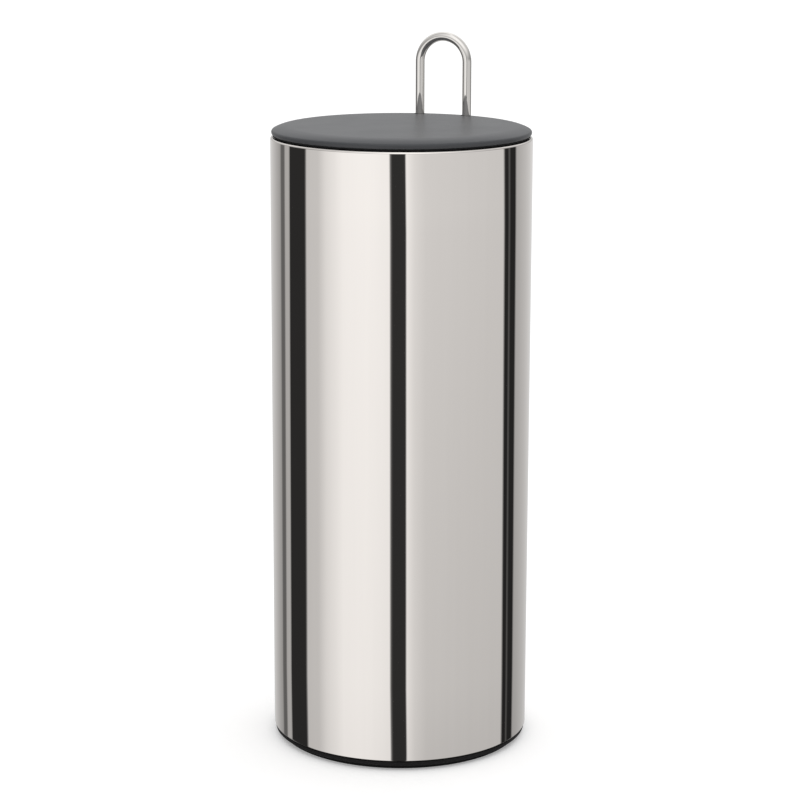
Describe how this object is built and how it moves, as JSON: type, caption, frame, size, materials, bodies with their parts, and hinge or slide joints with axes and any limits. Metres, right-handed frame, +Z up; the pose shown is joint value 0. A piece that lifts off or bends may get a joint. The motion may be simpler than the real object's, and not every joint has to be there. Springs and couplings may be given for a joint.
{
  "type": "toilet roll storage holder",
  "caption": "Free-standing round steel canister with a black base and a flat dark lid; a wire handle lifts the lid and a hanging tray of stacked toilet rolls out together.",
  "frame": {"origin": "on the axis of the canister, in the floor plane that the foot ring stands on", "axes": "+Z up along the axis of the canister, -Y towards the front, +Y towards the wire handle"},
  "size_m": [0.14, 0.14, 0.3828],
  "materials": {
    "polished_steel": "polished",
    "polished_wire": "polished",
    "satin_lid": "satin",
    "grey_moulding": "satin",
    "black_moulding": "satin",
    "soft_rubber": "matte",
    "screw_steel": "satin",
    "clip_steel": "satin"
  },
  "bodies": {
    "canister": {"shell": "polished_steel", "base": "black_moulding", "foot_ring": "soft_rubber"},
    "carrier": {"tray": "grey_moulding", "tray_screws": "screw_steel", "tray_washers": "screw_steel", "wire_handle": "polished_wire", "left_wire_clip": "clip_steel", "right_wire_clip": "clip_steel", "left_wire_bush": "soft_rubber", "right_wire_bush": "soft_rubber", "lid": "satin_lid", "lid_seal": "soft_rubber", "lid_liner": "grey_moulding", "liner_screws": "screw_steel"}
  },
  "joints": [
    {"name": "carrier_lift", "type": "slide", "parent": "canister", "child": "carrier", "axis": [0, 0, 1], "range_m": [0, 0.345]}
  ]
}
